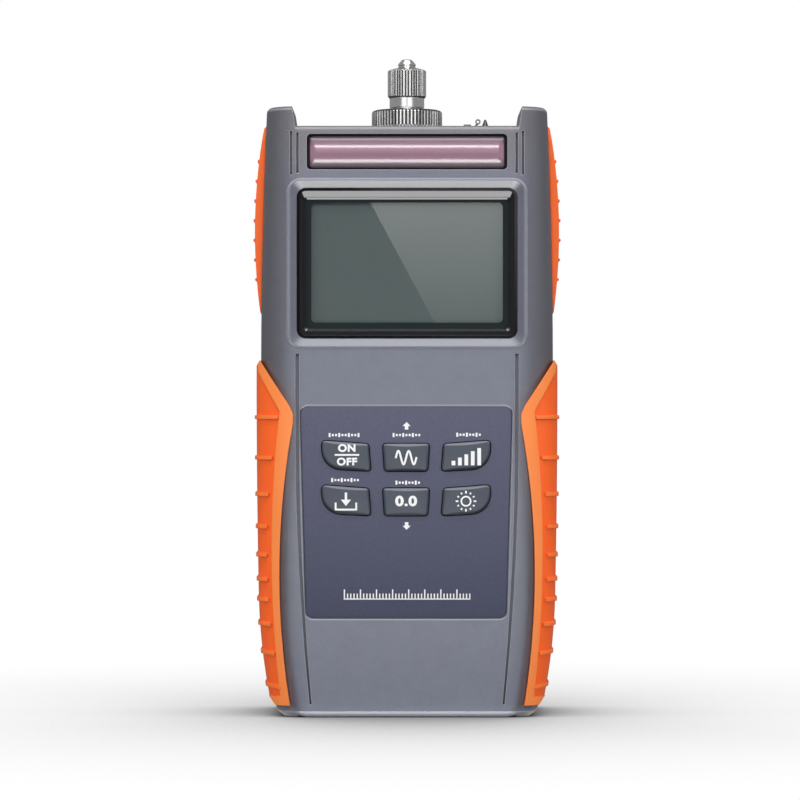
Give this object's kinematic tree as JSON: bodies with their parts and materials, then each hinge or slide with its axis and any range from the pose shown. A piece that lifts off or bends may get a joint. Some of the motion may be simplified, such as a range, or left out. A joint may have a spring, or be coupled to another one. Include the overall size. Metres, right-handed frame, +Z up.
{
  "type": "optical power meter",
  "caption": "Handheld fibre optic power meter with display window, rubber keypad, side grips, screw-on fibre adapter with dust cap, battery door and tilt stand.",
  "frame": {"origin": "centre of the bounding box's underside, on the surface that the meter stands on", "axes": "+Z up along the length of the meter towards the fibre connector, -Y out of the display, +X to the right as the display is read"},
  "size_m": [0.0968, 0.0476, 0.2066],
  "materials": {
    "case_plastic": "fine textured moulded ABS",
    "orange_rubber": "satin elastomer",
    "black_gloss": "polished",
    "clear_window": "clear acrylic",
    "lcd": "blank reflective display glass",
    "light_guide": "white diffuser",
    "conductive_rubber": "zebra elastomer",
    "overlay": "printed polyester film",
    "silicone": "silicone",
    "key_plastic": "moulded",
    "tinted_bar": "glossy, tinted",
    "seal_rubber": "matt",
    "board": "solder mask",
    "chip": "moulded",
    "screw_steel": "zinc plated",
    "nickel": "nickel plated brass",
    "contact_metal": "nickel plated spring steel",
    "cell_wrap": "plain printed sleeve"
  },
  "bodies": {
    "meter": {"front_shell": "case_plastic", "rear_shell": "case_plastic", "case_seal": "seal_rubber", "left_grip": "orange_rubber", "right_grip": "orange_rubber", "left_side_pad": "orange_rubber", "right_side_pad": "orange_rubber", "window_bezel": "black_gloss", "window_lens": "clear_window", "lcd_glass": "lcd", "lcd_backlight": "light_guide", "lcd_zebra_strips": "conductive_rubber", "keypad_overlay": "overlay", "keypad_mat": "silicone", "key_switches": "chip", "top_strip": "tinted_bar", "top_strip_gasket": "seal_rubber", "main_board": "board", "board_chips": "chip", "board_screws": "screw_steel", "case_screws": "screw_steel", "buzzer": "chip", "detector_housing": "nickel", "photodiode": "nickel", "detector_board": "board", "detector_flex": "board", "usb_socket": "contact_metal", "battery_left": "cell_wrap", "battery_middle": "cell_wrap", "battery_right": "cell_wrap", "battery_springs": "contact_metal", "battery_contacts": "contact_metal", "stand_pin": "screw_steel", "tether_anchor": "nickel", "anchor_screw": "screw_steel"},
    "adapter": {"adapter_barrel": "nickel", "adapter_oring": "seal_rubber"},
    "union_ring": {"adapter_ring": "nickel"},
    "cap_eye": {"cap_tab": "nickel"},
    "cap": {"dust_cap": "nickel", "cap_liner": "seal_rubber", "cap_rivet": "nickel"},
    "door": {"battery_door": "case_plastic"},
    "stand": {"tilt_stand": "case_plastic"},
    "key_power_body": {"key_power": "key_plastic"},
    "key_wavelength_body": {"key_wavelength": "key_plastic"},
    "key_units_body": {"key_units": "key_plastic"},
    "key_recall_body": {"key_recall": "key_plastic"},
    "key_reference_body": {"key_reference": "key_plastic"},
    "key_backlight_body": {"key_backlight": "key_plastic"}
  },
  "joints": [
    {"name": "key_power_press", "type": "slide", "parent": "meter", "child": "key_power_body", "axis": [0, 1, 0], "range_m": [0, 0.0006], "stiffness_N_per_m": 300, "springref_m": -0.003},
    {"name": "key_wavelength_press", "type": "slide", "parent": "meter", "child": "key_wavelength_body", "axis": [0, 1, 0], "range_m": [0, 0.0006], "stiffness_N_per_m": 300, "springref_m": -0.003},
    {"name": "key_units_press", "type": "slide", "parent": "meter", "child": "key_units_body", "axis": [0, 1, 0], "range_m": [0, 0.0006], "stiffness_N_per_m": 300, "springref_m": -0.003},
    {"name": "key_recall_press", "type": "slide", "parent": "meter", "child": "key_recall_body", "axis": [0, 1, 0], "range_m": [0, 0.0006], "stiffness_N_per_m": 300, "springref_m": -0.003},
    {"name": "key_reference_press", "type": "slide", "parent": "meter", "child": "key_reference_body", "axis": [0, 1, 0], "range_m": [0, 0.0006], "stiffness_N_per_m": 300, "springref_m": -0.003},
    {"name": "key_backlight_press", "type": "slide", "parent": "meter", "child": "key_backlight_body", "axis": [0, 1, 0], "range_m": [0, 0.0006], "stiffness_N_per_m": 300, "springref_m": -0.003},
    {"name": "door_swing", "type": "hinge", "parent": "meter", "child": "door", "pos_m": [0, 0.0206, 0.0786], "axis": [1, 0, 0], "range_deg": [0, 80]},
    {"name": "stand_swing", "type": "hinge", "parent": "meter", "child": "stand", "pos_m": [0, 0.0203, 0.1652], "axis": [1, 0, 0], "range_deg": [0, 55]},
    {"name": "adapter_rise", "type": "slide", "parent": "meter", "child": "adapter", "axis": [0, 0, 1], "range_m": [0, 0.003]},
    {"name": "ring_turn", "type": "hinge", "parent": "adapter", "child": "union_ring", "pos_m": [0, 0, 0.187], "axis": [0, 0, 1], "range_deg": [0, 1080]},
    {"name": "cap_lift", "type": "slide", "parent": "adapter", "child": "cap_eye", "axis": [0, 0, 1], "range_m": [0, 0.045]},
    {"name": "cap_turn", "type": "hinge", "parent": "cap_eye", "child": "cap", "pos_m": [0, 0, 0.197], "axis": [0, 0, 1], "continuous": true}
  ],
  "couplings": [
    {"joint": "ring_turn", "follows": "adapter_rise", "rad_per_m": 6283.1}
  ]
}
